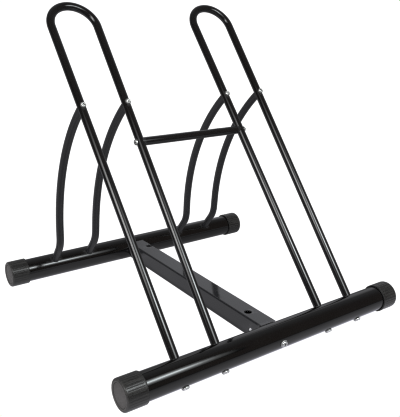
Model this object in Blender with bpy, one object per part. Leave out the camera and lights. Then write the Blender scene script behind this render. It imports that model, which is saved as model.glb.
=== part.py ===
"""Two-place floor rack for bicycles.

Two round base tubes lie parallel on the floor, joined by one square bar.
Each wheel place is an inverted-U hoop that leans back from the front tube,
held by two curved legs that rise from the rear tube.  A crossbar ties the
inner legs of the two hoops.  Everything is bolted: threaded plugs in the
tube ends take the screws, and barrel nuts take the screws of the square bar.

Frame: X along the base tubes, +Y towards the rear tube, +Z up, origin on the
floor under the middle of the rack.  Metres.
"""
import math

import bmesh
import bpy
from mathutils import Matrix, Vector

# ------------------------------------------------------------------ dimensions
BASE_R = 0.0254            # base tube, outer radius
BASE_WALL = 0.0020
BASE_SIDES = 32
TRACK = 0.538              # distance between the axes of the two base tubes
TUBE_HALF = 0.3180         # half of a base tube, which ends inside its caps

CAP_R = 0.0285             # ribbed end cap, outer radius
CAP_LENGTH = 0.040
CAP_AT = {                 # outer end of each cap: they are pushed on by hand, not all equally far
    ("front", "left"): 0.3325,
    ("front", "right"): 0.3270,
    ("rear", "left"): 0.3225,
    ("rear", "right"): 0.3325,
}
CAP_END = 0.0040           # thickness of the closed end
CAP_RIM = 0.0045           # width of the raised rim on the end face
CAP_RECESS = 0.0010

SMALL_R = 0.0080           # hoops, rear legs and crossbar, outer radius
SMALL_WALL = 0.0015
SMALL_SIDES = 16

HOOP_X = 0.1730            # each wheel place is this far from the middle
HOOP_HALF = 0.043          # hoop leg to hoop centre, at the front tube's axis
HOOP_SPLAY = 0.010         # the legs open out by this much per metre
HOOP_LEAN = math.radians(40.0)
HOOP_REACH = 0.760         # front tube's axis to the top of the bend
HOOP_STEPS = 12

REAR_LEAN = math.radians(38.0)      # stub at the rear tube, leaning forward
REAR_UPRIGHT = math.radians(4.0)    # nearly upright stretch above the bend
REAR_END = math.radians(48.0)       # heading where it meets the hoop leg
REAR_BEND_R = 0.060
REAR_SWEEP_R = 0.430
JOINT_REACH = 0.5234       # front tube's axis to the hoop-to-leg screw
CROSS_REACH = 0.4371       # front tube's axis to the crossbar

FOOT_DEPTH = 0.0215        # how far a leg goes past the base tube's axis
FOOT_PLUG = 0.0200
JOINT_PLUG = 0.0140
CROSS_PLUG = 0.0160

BAR_WIDTH = 0.040
BAR_HEIGHT = 0.038
BAR_WALL = 0.0020
BAR_CORNER = 0.0035
COPE_GAP = 0.0018          # the bar's coped ends stand this far off the base tubes
BAR_HOLE_R = 0.0080
BAR_HOLES = ((-0.0040, 0.0755), (0.0110, 0.4760))   # x, and distance behind the front tube's axis
BARREL_R = 0.0050
BARREL_Y = 0.0475          # barrel nut's axis from the base tube's axis
BOLT_DROP = 0.0026         # the square bar's screws sit this far below the tubes' axis

M8_R, M8_HEAD_R, M8_HEAD_H = 0.0040, 0.0070, 0.0044
M6_R, M6_HEAD_R, M6_HEAD_H = 0.0030, 0.0056, 0.0040
BAR_FLANGE_R, BAR_HEAD_R, BAR_HEAD_H = 0.0075, 0.0062, 0.0050      # flanged head of the square bar's screws
SCREW_CLEARANCE = 0.0005

GAP = 0.0003

AXIS_Z = CAP_R * math.cos(math.pi / BASE_SIDES)   # the caps stand on a flat
FRONT_Y = -TRACK / 2
REAR_Y = TRACK / 2

# ------------------------------------------------------------------ clean slate
for old in list(bpy.data.objects):
    bpy.data.objects.remove(old, do_unlink=True)

SCENE = bpy.context.scene.collection


# ------------------------------------------------------------------ materials
def material(name, colour, roughness, metallic):
    mat = bpy.data.materials.new(name)
    mat.use_nodes = True
    shader = mat.node_tree.nodes["Principled BSDF"]
    shader.inputs["Base Color"].default_value = (*colour, 1.0)
    shader.inputs["Roughness"].default_value = roughness
    shader.inputs["Metallic"].default_value = metallic
    return mat


LOOKS = {
    "tube": ((0.012, 0.012, 0.014), 0.18, 0.0),
    "bar": ((0.020, 0.020, 0.022), 0.25, 0.0),
    "cap": ((0.030, 0.030, 0.031), 0.50, 0.0),
    "zinc": ((0.62, 0.63, 0.64), 0.32, 1.0),
    "plug": ((0.40, 0.40, 0.41), 0.45, 1.0),
}


# ------------------------------------------------------------------ mesh helpers
def finish(name, bm, look, sharp=35.0):
    """Turn a bmesh into a named object with a material of its own."""
    bmesh.ops.recalc_face_normals(bm, faces=bm.faces)
    mesh = bpy.data.meshes.new(name)
    bm.to_mesh(mesh)
    bm.free()
    mesh.shade_smooth()
    mesh.set_sharp_from_angle(angle=math.radians(sharp))
    obj = bpy.data.objects.new(name, mesh)
    SCENE.objects.link(obj)
    if look is not None:
        colour, rough, metal = LOOKS[look]
        mesh.materials.append(material(name + "_finish", colour, rough, metal))
    return obj


def bridge(bm, ring_a, ring_b):
    n = len(ring_a)
    for i in range(n):
        j = (i + 1) % n
        bm.faces.new((ring_a[i], ring_a[j], ring_b[j], ring_b[i]))


def fan(bm, ring, centre):
    hub = bm.verts.new(centre)
    n = len(ring)
    for i in range(n):
        bm.faces.new((ring[i], ring[(i + 1) % n], hub))


def headings(points):
    out = []
    for i in range(len(points)):
        a = points[max(i - 1, 0)]
        b = points[min(i + 1, len(points) - 1)]
        if 0 < i < len(points) - 1:
            out.append(((points[i] - a).normalized() + (b - points[i]).normalized()).normalized())
        else:
            out.append((b - a).normalized())
    return out


def swept_tube(name, points, side, r_out, r_in, sides, look, phase=0.5):
    """Open tube along a path that bends about the direction `side`."""
    bm = bmesh.new()
    outer, inner = [], []
    for point, along in zip(points, headings(points)):
        up = side.cross(along).normalized()
        across = along.cross(up).normalized()
        ring_o, ring_i = [], []
        for k in range(sides):
            a = 2 * math.pi * (k + phase) / sides
            radial = across * math.cos(a) + up * math.sin(a)
            ring_o.append(bm.verts.new(point + radial * r_out))
            ring_i.append(bm.verts.new(point + radial * r_in))
        outer.append(ring_o)
        inner.append(ring_i)
    for a, b in zip(outer[:-1], outer[1:]):
        bridge(bm, a, b)
    for a, b in zip(inner[:-1], inner[1:]):
        bridge(bm, a, b)
    bridge(bm, outer[0], inner[0])
    bridge(bm, outer[-1], inner[-1])
    return finish(name, bm, look)


def basis(along, hint=Vector((1.0, 0.0, 0.0))):
    """Rotation whose +Z is `along`, with its X as near `hint` as it can be."""
    z = along.normalized()
    x = hint - z * hint.dot(z)
    if x.length < 1e-4:
        x = Vector((0.0, 1.0, 0.0)) - z * z.y
    x.normalize()
    y = z.cross(x)
    return Matrix((x, y, z)).transposed().to_4x4()


def place(obj, origin, along, hint=Vector((1.0, 0.0, 0.0))):
    obj.matrix_world = Matrix.Translation(origin) @ basis(along, hint)
    return obj


def turned(name, profile, sides, look, closed_ends=True, sharp=35.0, phase=0.5):
    """Turned piece about local Z from (radius, z) or (radius, z, 'hex')."""
    bm = bmesh.new()
    rings = []
    for station in profile:
        r, z = station[0], station[1]
        hexed = len(station) > 2
        ring = []
        for k in range(sides):
            a = 2 * math.pi * (k + phase) / sides
            rr = r * math.cos(math.pi / 6) if (hexed and k % 2) else r
            ring.append(bm.verts.new((rr * math.cos(a), rr * math.sin(a), z)))
        rings.append(ring)
    for a, b in zip(rings[:-1], rings[1:]):
        bridge(bm, a, b)
    if closed_ends:
        fan(bm, rings[0], (0.0, 0.0, profile[0][1]))
        fan(bm, rings[-1], (0.0, 0.0, profile[-1][1]))
    else:
        bridge(bm, rings[-1], rings[0])
    return finish(name, bm, look, sharp)


def cutter(name, origin, along, r, near, far, sides, hint=Vector((1.0, 0.0, 0.0)), phase=0.5):
    """Round cutter from `near` to `far` along a direction."""
    obj = turned(name, [(r, near), (r, far)], sides, None, phase=phase)
    obj.display_type = "WIRE"
    obj.hide_render = True
    return place(obj, origin, along, hint)


def cut(obj, *tools):
    for tool in tools:
        mod = obj.modifiers.new(tool.name, "BOOLEAN")
        mod.operation = "DIFFERENCE"
        mod.object = tool
    return obj


# ------------------------------------------------------------------ geometry rules
def on_hoop(x, reach):
    """Point of the leaning plane: x across, reach up the slope."""
    return Vector((x, FRONT_Y + reach * math.sin(HOOP_LEAN), AXIS_Z + reach * math.cos(HOOP_LEAN)))


SLOPE = Vector((0.0, math.sin(HOOP_LEAN), math.cos(HOOP_LEAN)))


def hoop_leg(place_sign, leg_sign):
    """Foot point on the tube axis and unit direction of one hoop leg."""
    foot = on_hoop(place_sign * HOOP_X + leg_sign * HOOP_HALF, 0.0)
    run = (SLOPE + Vector((leg_sign * HOOP_SPLAY, 0.0, 0.0))).normalized()
    return foot, run


def along_leg(foot, run, reach):
    """Point of a hoop leg at a distance up the slope."""
    return foot + run * (reach / run.dot(SLOPE))


def rear_leg_path(foot_x, top_x):
    """Centre line of one rear leg, from inside the rear tube to the hoop leg.

    Two straights, a bend and a long sweep.  The lengths of the straights
    follow from where the leg has to start and where it has to end.
    """
    def head(angle):
        return Vector((-math.sin(angle), math.cos(angle)))

    def arc(angle_a, angle_b, radius):
        turn = radius if angle_b > angle_a else -radius
        return Vector((math.cos(angle_b) - math.cos(angle_a),
                       math.sin(angle_b) - math.sin(angle_a))) * turn

    goal = (Vector((FRONT_Y, AXIS_Z))
            + Vector((math.sin(HOOP_LEAN), math.cos(HOOP_LEAN))) * JOINT_REACH)
    end = goal - head(REAR_END) * SMALL_R
    start = Vector((REAR_Y, AXIS_Z))
    bend = arc(REAR_LEAN, REAR_UPRIGHT, REAR_BEND_R)
    sweep = arc(REAR_UPRIGHT, REAR_END, REAR_SWEEP_R)
    rest = end - start - bend - sweep
    a, b = head(REAR_LEAN), head(REAR_UPRIGHT)
    det = a.x * b.y - a.y * b.x
    first = (rest.x * b.y - rest.y * b.x) / det
    second = (a.x * rest.y - a.y * rest.x) / det

    flat = [start - a * FOOT_DEPTH]
    here = start + a * first
    flat.append(here.copy())
    for span, steps, radius in (((REAR_LEAN, REAR_UPRIGHT), 4, REAR_BEND_R),
                                ((REAR_UPRIGHT, REAR_END), 9, REAR_SWEEP_R)):
        for k in range(1, steps + 1):
            angle = span[0] + (span[1] - span[0]) * k / steps
            flat.append(here + arc(span[0], angle, radius))
        here = flat[-1].copy()
        if span[0] == REAR_LEAN:
            here = here + b * second
            flat.append(here.copy())
    flat.append(goal.copy())
    rise = (top_x - foot_x) / (goal.y - AXIS_Z)
    return [Vector((foot_x + rise * (p.y - AXIS_Z), p.x, p.y)) for p in flat]


# ------------------------------------------------------------------ base tubes
def base_tube(name, y, legs):
    """Round tube with a socket and a screw hole for each leg."""
    tube = swept_tube(name, [Vector((-TUBE_HALF, y, AXIS_Z)), Vector((TUBE_HALF, y, AXIS_Z))],
                      Vector((0.0, 0.0, 1.0)), BASE_R, BASE_R - BASE_WALL, BASE_SIDES, "tube")
    tools = []
    for i, (foot, run) in enumerate(legs):
        tools.append(cutter(f"{name}_socket_{i}", foot, run, SMALL_R + 1.2 * GAP, 0.004, 0.060, SMALL_SIDES))
        tools.append(cutter(f"{name}_screw_hole_{i}", foot, run, M8_R + SCREW_CLEARANCE, -0.060, -0.004, 12))
    tools.append(cutter(f"{name}_bar_hole", Vector((0.0, y, AXIS_Z - BOLT_DROP)), Vector((0.0, 1.0, 0.0)),
                        M6_R + SCREW_CLEARANCE, -0.060, 0.060, 12))
    return cut(tube, *tools)


FRONT_LEGS, REAR_LEGS, PATHS = {}, {}, {}
for place_name, ps in (("left", -1), ("right", 1)):
    for leg_name, ls in (("outer", ps), ("inner", -ps)):
        FRONT_LEGS[place_name, leg_name] = hoop_leg(ps, ls)
        foot_x = ps * HOOP_X + ls * HOOP_HALF
        top_x = foot_x + ls * HOOP_SPLAY * JOINT_REACH
        path = rear_leg_path(foot_x, top_x)
        PATHS[place_name, leg_name] = path
        run = (path[1] - path[0]).normalized()
        REAR_LEGS[place_name, leg_name] = (path[0] + run * FOOT_DEPTH, run)

base_tube("base_tube_front", FRONT_Y, list(FRONT_LEGS.values()))
base_tube("base_tube_rear", REAR_Y, list(REAR_LEGS.values()))


# ------------------------------------------------------------------ end caps
def end_cap(name, y, end_x):
    """Push-on cap: closed end with a raised rim, chamfered mouth."""
    bore = BASE_R + GAP
    profile = [
        (bore, CAP_END),
        (bore, CAP_LENGTH),
        (CAP_R - 0.0012, CAP_LENGTH),
        (CAP_R, CAP_LENGTH - 0.0012),
        (CAP_R, 0.0030),
        (CAP_R - 0.0009, 0.0009),
        (CAP_R - 0.0030, 0.0),
        (CAP_R - 0.0030 - CAP_RIM + 0.0010, 0.0),
        (CAP_R - 0.0030 - CAP_RIM, CAP_RECESS),
    ]
    cap = turned(name, profile, BASE_SIDES, "cap", sharp=28.0)
    return place(cap, Vector((end_x, y, AXIS_Z)), Vector((-math.copysign(1.0, end_x), 0.0, 0.0)),
                 Vector((0.0, 0.0, 1.0)))


for row, y in (("front", FRONT_Y), ("rear", REAR_Y)):
    end_cap(f"end_cap_{row}_left", y, -CAP_AT[row, "left"])
    end_cap(f"end_cap_{row}_right", y, CAP_AT[row, "right"])


# ------------------------------------------------------------------ hoops
def hoop_path(ps):
    centre = ps * HOOP_X
    tilt = math.atan(HOOP_SPLAY)
    bend_reach = (HOOP_REACH - HOOP_HALF * math.cos(tilt)) / (1.0 + HOOP_SPLAY * math.cos(tilt))
    bend_r = (HOOP_HALF + HOOP_SPLAY * bend_reach) * math.cos(tilt)
    points = [on_hoop(centre + HOOP_HALF - HOOP_SPLAY * FOOT_DEPTH, -FOOT_DEPTH)]
    for k in range(HOOP_STEPS + 1):
        a = -tilt + (math.pi + 2 * tilt) * k / HOOP_STEPS
        points.append(on_hoop(centre + bend_r * math.cos(a), bend_reach + bend_r * math.sin(a)))
    points.append(on_hoop(centre - HOOP_HALF + HOOP_SPLAY * FOOT_DEPTH, -FOOT_DEPTH))
    return points


PLANE_NORMAL = Vector((0.0, -math.cos(HOOP_LEAN), math.sin(HOOP_LEAN)))
JOINTS, CROSS_ENDS = {}, {}
for place_name, ps in (("left", -1), ("right", 1)):
    hoop = swept_tube(f"hoop_{place_name}", hoop_path(ps), PLANE_NORMAL,
                      SMALL_R, SMALL_R - SMALL_WALL, SMALL_SIDES, "tube")
    tools = []
    for leg_name in ("outer", "inner"):
        foot, run = FRONT_LEGS[place_name, leg_name]
        path = PATHS[place_name, leg_name]
        joint = along_leg(foot, run, JOINT_REACH)
        heading = (path[-1] - path[-2]).normalized()
        JOINTS[place_name, leg_name] = (joint, heading)
        tools.append(cutter(f"hoop_{place_name}_{leg_name}_joint_hole", joint, heading,
                            M6_R + SCREW_CLEARANCE, -0.020, 0.020, 12))
    foot, run = FRONT_LEGS[place_name, "inner"]
    end = along_leg(foot, run, CROSS_REACH)
    CROSS_ENDS[place_name] = (end, run)
    tools.append(cutter(f"hoop_{place_name}_cross_hole", end, Vector((1.0, 0.0, 0.0)),
                        M6_R + SCREW_CLEARANCE, -0.020, 0.020, 12, Vector((0.0, 1.0, 0.0))))
    cut(hoop, *tools)

# ------------------------------------------------------------------ rear legs
for (place_name, leg_name), path in PATHS.items():
    leg = swept_tube(f"rear_leg_{place_name}_{leg_name}", path, Vector((1.0, 0.0, 0.0)),
                     SMALL_R, SMALL_R - SMALL_WALL, SMALL_SIDES, "tube")
    foot, run = FRONT_LEGS[place_name, leg_name]
    joint, heading = JOINTS[place_name, leg_name]
    cut(leg, cutter(f"rear_leg_{place_name}_{leg_name}_cope", joint, run,
                    SMALL_R + GAP, -0.040, 0.040, SMALL_SIDES))

# ------------------------------------------------------------------ crossbar
left_end, left_run = CROSS_ENDS["left"]
right_end, right_run = CROSS_ENDS["right"]
crossbar = swept_tube("crossbar", [left_end, right_end], SLOPE,
                      SMALL_R, SMALL_R - SMALL_WALL, SMALL_SIDES, "tube")
cut(crossbar,
    cutter("crossbar_cope_left", left_end, left_run, SMALL_R + GAP, -0.030, 0.030, SMALL_SIDES),
    cutter("crossbar_cope_right", right_end, right_run, SMALL_R + GAP, -0.030, 0.030, SMALL_SIDES))


# ------------------------------------------------------------------ square bar
def rounded_section(width, height, corner, steps=2):
    pts = []
    for cx, cy, start in ((1, 1, 0), (-1, 1, 90), (-1, -1, 180), (1, -1, 270)):
        for k in range(steps + 1):
            a = math.radians(start + 90 * k / steps)
            pts.append((cx * (width / 2 - corner) + corner * math.cos(a),
                        cy * (height / 2 - corner) + corner * math.sin(a)))
    return pts


def centre_bar():
    bm = bmesh.new()
    outer_2d = rounded_section(BAR_WIDTH, BAR_HEIGHT, BAR_CORNER)
    inner_2d = rounded_section(BAR_WIDTH - 2 * BAR_WALL, BAR_HEIGHT - 2 * BAR_WALL,
                               BAR_CORNER - BAR_WALL)
    rings = []
    for y in (FRONT_Y, REAR_Y):
        rings.append(([bm.verts.new((x, y, AXIS_Z + z)) for x, z in outer_2d],
                      [bm.verts.new((x, y, AXIS_Z + z)) for x, z in inner_2d]))
    bridge(bm, rings[0][0], rings[1][0])
    bridge(bm, rings[0][1], rings[1][1])
    bridge(bm, rings[0][0], rings[0][1])
    bridge(bm, rings[1][0], rings[1][1])
    bar = finish("centre_bar", bm, "bar")
    tools = []
    for row, y, side in (("front", FRONT_Y, 1), ("rear", REAR_Y, -1)):
        tools.append(cutter(f"centre_bar_cope_{row}", Vector((0.0, y, AXIS_Z)), Vector((1.0, 0.0, 0.0)),
                            BASE_R + COPE_GAP, -0.060, 0.060, BASE_SIDES, Vector((0.0, 0.0, 1.0))))
        tools.append(cutter(f"centre_bar_nut_hole_{row}", Vector((0.0, y + side * BARREL_Y, AXIS_Z - BOLT_DROP)),
                            Vector((1.0, 0.0, 0.0)), BARREL_R + GAP, -0.060, 0.060, 16,
                            Vector((0.0, 0.0, 1.0))))
    for k, (x, behind) in enumerate(BAR_HOLES):
        tools.append(cutter(f"centre_bar_top_hole_{k}", Vector((x, FRONT_Y + behind, AXIS_Z)), Vector((0.0, 0.0, 1.0)),
                            BAR_HOLE_R, 0.004, 0.060, 16))
    return cut(bar, *tools)


centre_bar()


# ------------------------------------------------------------------ screws, plugs and nuts
def screw(name, origin, along, r, length, head_r, head_h, flange_r=0.0):
    """Button-head socket screw: origin under the head, head towards +along."""
    socket = head_r * 0.42
    profile = [(r * 0.8, -length), (r, -length + r * 0.25), (r, 0.0)]
    if flange_r:
        profile += [(flange_r, 0.0), (flange_r, head_h * 0.22), (head_r, head_h * 0.36)]
    else:
        profile += [(head_r, 0.0), (head_r, head_h * 0.22)]
    profile += [
        (head_r * 0.86, head_h * 0.70),
        (head_r * 0.58, head_h),
        (socket, head_h, "hex"),
        (socket, head_h * 0.40, "hex"),
    ]
    return place(turned(name, profile, 12, "zinc"), origin, along)


def plug(name, origin, along, r_out, r_in, length):
    """Threaded plug inside a tube end: outer face at `origin`, body away from +along."""
    profile = [(r_in, 0.0), (r_out, 0.0), (r_out, -length), (r_in, -length)]
    return place(turned(name, profile, 12, "plug", closed_ends=False), origin, along)


PLUG_R = SMALL_R - SMALL_WALL - 2 * GAP
for row, legs in (("hoop", FRONT_LEGS), ("rear_leg", REAR_LEGS)):
    for (place_name, leg_name), (foot, run) in legs.items():
        tag = f"{place_name}_{leg_name}"
        plug(f"{row}_foot_plug_{tag}", foot - run * (FOOT_DEPTH - GAP), -run,
             PLUG_R, M8_R + GAP, FOOT_PLUG)
        screw(f"{row}_foot_screw_{tag}", foot - run * (BASE_R + GAP), -run,
              M8_R, 0.0215, M8_HEAD_R, M8_HEAD_H)

for (place_name, leg_name), (joint, heading) in JOINTS.items():
    tag = f"{place_name}_{leg_name}"
    plug(f"joint_plug_{tag}", joint - heading * (SMALL_R + 3 * GAP), heading,
         PLUG_R - GAP, M6_R + GAP, JOINT_PLUG)      # slimmer: the leg still curves here
    screw(f"joint_screw_{tag}", joint + heading * (SMALL_R + GAP), heading,
          M6_R, 0.0290, M6_HEAD_R, M6_HEAD_H)

for place_name, ps in (("left", -1), ("right", 1)):
    end, run = CROSS_ENDS[place_name]
    outward = Vector((float(ps), 0.0, 0.0))
    plug(f"crossbar_plug_{place_name}", end - outward * (SMALL_R + 3 * GAP), outward,
         PLUG_R, M6_R + GAP, CROSS_PLUG)
    screw(f"crossbar_screw_{place_name}", end + outward * (SMALL_R + GAP), outward,
          M6_R, 0.0290, M6_HEAD_R, M6_HEAD_H)


def barrel_nut(name, y):
    half = BAR_WIDTH / 2 - 0.0004
    nut = turned(name, [(BARREL_R - 0.0006, -half), (BARREL_R, 0.0006 - half),
                        (BARREL_R, half - 0.0006), (BARREL_R - 0.0006, half)], 16, "zinc")
    place(nut, Vector((0.0, y, AXIS_Z - BOLT_DROP)), Vector((1.0, 0.0, 0.0)), Vector((0.0, 0.0, 1.0)))
    return cut(nut, cutter(name + "_thread", Vector((0.0, y, AXIS_Z - BOLT_DROP)), Vector((0.0, 1.0, 0.0)),
                           M6_R + GAP, -0.020, 0.020, 12))


for row, y, side in (("front", FRONT_Y, 1), ("rear", REAR_Y, -1)):
    barrel_nut(f"barrel_nut_{row}", y + side * BARREL_Y)
    away = Vector((0.0, -float(side), 0.0))
    screw(f"centre_bar_screw_{row}", Vector((0.0, y, AXIS_Z - BOLT_DROP)) + away * (BASE_R + GAP), away,
          M6_R, BASE_R + BARREL_Y + 0.008, BAR_HEAD_R, BAR_HEAD_H, BAR_FLANGE_R)
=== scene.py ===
import math

import bmesh
import bpy
import numpy as np
from mathutils import Matrix, Vector
from mathutils.kdtree import KDTree


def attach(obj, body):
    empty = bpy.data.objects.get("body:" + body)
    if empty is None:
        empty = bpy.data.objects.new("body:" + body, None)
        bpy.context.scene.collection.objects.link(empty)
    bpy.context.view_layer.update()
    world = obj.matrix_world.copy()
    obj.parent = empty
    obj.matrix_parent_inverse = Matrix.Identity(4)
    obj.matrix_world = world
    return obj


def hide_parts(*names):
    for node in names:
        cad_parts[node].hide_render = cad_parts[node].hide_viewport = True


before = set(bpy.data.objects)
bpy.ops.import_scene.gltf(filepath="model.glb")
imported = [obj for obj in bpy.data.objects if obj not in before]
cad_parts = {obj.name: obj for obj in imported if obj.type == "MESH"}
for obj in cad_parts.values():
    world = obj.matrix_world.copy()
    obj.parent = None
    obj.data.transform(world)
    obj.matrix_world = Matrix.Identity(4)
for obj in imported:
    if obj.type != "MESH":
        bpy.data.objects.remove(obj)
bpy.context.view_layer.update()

# ------------------------------------------------------------------ dimensions
# The same rules and numbers as the CAD part, in metres.
BASE_R = 0.0254
BASE_WALL = 0.0020
TRACK = 0.538
TUBE_HALF = 0.3180

CAP_R = 0.0285
CAP_LENGTH = 0.040
CAP_AT = {("front", "left"): 0.3325, ("front", "right"): 0.3270, ("rear", "left"): 0.3225, ("rear", "right"): 0.3325}
CAP_END = 0.0040
CAP_RIBS = 32

SMALL_R = 0.0080
SMALL_WALL = 0.0015

HOOP_X = 0.1730
HOOP_HALF = 0.043
HOOP_SPLAY = 0.010
HOOP_LEAN = math.radians(40.0)
HOOP_REACH = 0.760

REAR_LEAN = math.radians(38.0)
REAR_UPRIGHT = math.radians(4.0)
REAR_END = math.radians(48.0)
REAR_BEND_R = 0.060
REAR_SWEEP_R = 0.430
JOINT_REACH = 0.5234
CROSS_REACH = 0.4371

FOOT_DEPTH = 0.0215
FOOT_PLUG = 0.0200
JOINT_PLUG = 0.0140
CROSS_PLUG = 0.0160

BAR_WIDTH = 0.040
BAR_HEIGHT = 0.038
BAR_WALL = 0.0020
BAR_CORNER = 0.0035
COPE_GAP = 0.0018
BAR_HOLE_R = 0.0080
BAR_HOLES = ((-0.0040, 0.0755), (0.0110, 0.4760))
BARREL_R = 0.0050
BARREL_Y = 0.0475
BOLT_DROP = 0.0026

M8_R, M8_HEAD_R, M8_HEAD_H = 0.0040, 0.0070, 0.0044
M6_R, M6_HEAD_R, M6_HEAD_H = 0.0030, 0.0056, 0.0040
BAR_FLANGE_R, BAR_HEAD_R, BAR_HEAD_H = 0.0075, 0.0062, 0.0050
SCREW_CLEARANCE = 0.0005
GAP = 0.0003

FLOOR_FLAT = CAP_R * math.cos(math.pi / 32)     # the CAD caps stand on a flat
AXIS_Z = FLOOR_FLAT
FRONT_Y = -TRACK / 2
REAR_Y = TRACK / 2

BASE_SIDES, SMALL_SIDES, TURNED_SIDES = 112, 56, 48

SCENE = bpy.context.scene


# ------------------------------------------------------------------ node materials
class Graph:
    """Short way to write a node tree."""

    def __init__(self, name):
        self.mat = bpy.data.materials.new(name)
        self.mat.use_nodes = True
        self.tree = self.mat.node_tree
        self.shader = self.tree.nodes["Principled BSDF"]

    def add(self, kind, inputs=None, **settings):
        node = self.tree.nodes.new(kind)
        for key, value in settings.items():
            setattr(node, key, value)
        for key, value in (inputs or {}).items():
            if isinstance(value, bpy.types.NodeSocket):
                self.tree.links.new(value, node.inputs[key])
            else:
                node.inputs[key].default_value = value
        return node

    def coords(self, stretch=(1.0, 1.0, 1.0)):
        where = self.add("ShaderNodeTexCoord").outputs["Object"]
        return self.add("ShaderNodeMapping", {"Vector": where, "Scale": stretch}).outputs["Vector"]

    def noise(self, where, scale, detail=2.0, rough=0.5, distortion=0.0):
        return self.add("ShaderNodeTexNoise", {"Vector": where, "Scale": scale, "Detail": detail,
                                               "Roughness": rough, "Distortion": distortion}).outputs["Fac"]

    def spread(self, value, low, high, to_low=0.0, to_high=1.0):
        return self.add("ShaderNodeMapRange", {"Value": value, "From Min": low, "From Max": high,
                                               "To Min": to_low, "To Max": to_high}).outputs["Result"]

    def maths(self, op, a, b):
        return self.add("ShaderNodeMath", {0: a, 1: b}, operation=op).outputs[0]

    def blend(self, factor, a, b):
        node = self.add("ShaderNodeMix", data_type="RGBA")
        self.tree.links.new(factor, node.inputs["Factor"])
        for socket, value in ((node.inputs[6], a), (node.inputs[7], b)):
            if isinstance(value, bpy.types.NodeSocket):
                self.tree.links.new(value, socket)
            else:
                socket.default_value = (*value, 1.0)
        return node.outputs[2]

    def attribute(self, name):
        return self.add("ShaderNodeAttribute", attribute_name=name).outputs["Fac"]

    def bump(self, height, strength, distance, normal=None):
        inputs = {"Height": height, "Strength": strength, "Distance": distance}
        if normal is not None:
            inputs["Normal"] = normal
        return self.add("ShaderNodeBump", inputs).outputs["Normal"]

    def drive(self, socket, value):
        self.tree.links.new(value, self.shader.inputs[socket])

    def fixed(self, **values):
        for key, value in values.items():
            self.shader.inputs[key.replace("_", " ")].default_value = value


def paint(name, colour, lighter, rough, peel, ior=1.5, dust=0.10, worn=(0.16, 0.16, 0.165)):
    """Stove enamel on steel: near black, with orange peel, faint haze and rubbed edges."""
    g = Graph(name)
    where = g.coords()
    cloud = g.noise(where, 14.0, 4.0, 0.55)
    mottle = g.noise(where, 95.0, 3.0, 0.6)
    specks = g.noise(where, 900.0, 2.0, 0.65)
    haze = g.noise(g.coords((1.0, 1.0, 1.0)), 31.0, 5.0, 0.62, 0.4)

    base = g.blend(g.spread(cloud, 0.35, 0.68), colour, lighter)
    base = g.blend(g.maths("MULTIPLY", g.spread(mottle, 0.52, 0.74), 0.35), base, lighter)
    edge = g.attribute("edge")
    rub = g.maths("MULTIPLY", edge, g.spread(mottle, 0.40, 0.66, 0.12, 0.9))
    rub = g.maths("MULTIPLY", rub, 0.30)
    base = g.blend(rub, base, worn)
    dusty = g.maths("MULTIPLY", g.spread(specks, 0.70, 0.80), dust)
    base = g.blend(dusty, base, (0.22, 0.21, 0.20))
    g.drive("Base Color", base)

    smooth = g.spread(haze, 0.32, 0.72, rough[0], rough[1])
    smooth = g.maths("ADD", smooth, g.maths("MULTIPLY", edge, 0.10))
    smooth = g.maths("ADD", smooth, g.maths("MULTIPLY", dusty, 0.8))
    g.drive("Roughness", smooth)

    swell = g.noise(where, 42.0, 2.0, 0.45)
    fine = g.noise(where, 420.0, 2.0, 0.5)
    normal = g.bump(swell, 1.0, peel[0])
    normal = g.bump(fine, 1.0, peel[1], normal)
    g.drive("Normal", normal)
    g.fixed(Specular_IOR_Level=0.5, IOR=ior, Metallic=0.0)
    return g.mat


def moulded_plastic(name):
    """Semi-gloss moulded polyethylene: rubbed lands, a duller, paler sparked face on its end, and painted shade that
    turns the rib grooves, the crease in the end face and the mouth near black.
    """
    g = Graph(name)
    where = g.coords()
    cloud = g.noise(where, 60.0, 3.0, 0.5)
    grain = g.noise(where, 1500.0, 2.0, 0.5)
    scuff = g.noise(g.coords((1.0, 1.0, 0.05)), 330.0, 3.0, 0.55, 0.3)
    edge = g.attribute("edge")
    disc = g.attribute("disc")
    groove_shade = g.attribute("groove_shade")
    base = g.blend(g.spread(cloud, 0.33, 0.70), (0.0145, 0.0141, 0.0132), (0.0220, 0.0215, 0.0205))
    base = g.blend(g.maths("MULTIPLY", g.spread(scuff, 0.50, 0.68), 0.38), base, (0.080, 0.077, 0.072))
    base = g.blend(g.maths("MULTIPLY", g.spread(scuff, 0.50, 0.34), 0.70), base, (0.0050, 0.0050, 0.0050))
    base = g.blend(g.maths("MULTIPLY", edge, g.spread(cloud, 0.36, 0.66, 0.10, 0.35)), base, (0.090, 0.088, 0.085))
    base = g.blend(g.maths("MULTIPLY", disc, g.spread(cloud, 0.30, 0.72, 0.86, 1.0)), base, (0.124, 0.118, 0.113))
    # Painted shade: where groove_shade is set (rib grooves, the end face's crease, the mouth) the colour goes near
    # black.
    base = g.blend(groove_shade, base, (0.0012, 0.0012, 0.0012))
    g.drive("Base Color", base)
    smooth = g.spread(cloud, 0.30, 0.72, 0.265, 0.300)
    smooth = g.maths("ADD", smooth, g.maths("MULTIPLY", g.spread(scuff, 0.55, 0.75), 0.04))
    smooth = g.maths("ADD", smooth, g.maths("MULTIPLY", disc, 0.25))
    smooth = g.maths("ADD", smooth, g.maths("MULTIPLY", groove_shade, 0.30))
    g.drive("Roughness", smooth)
    normal = g.bump(g.noise(where, 120.0, 2.0, 0.5), 1.0, 0.00001)
    normal = g.bump(scuff, 1.0, 0.00012, normal)
    normal = g.bump(grain, 1.0, 0.0000003, normal)
    g.drive("Normal", normal)
    g.fixed(Specular_IOR_Level=0.5, IOR=1.46, Metallic=0.0)
    return g.mat


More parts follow.
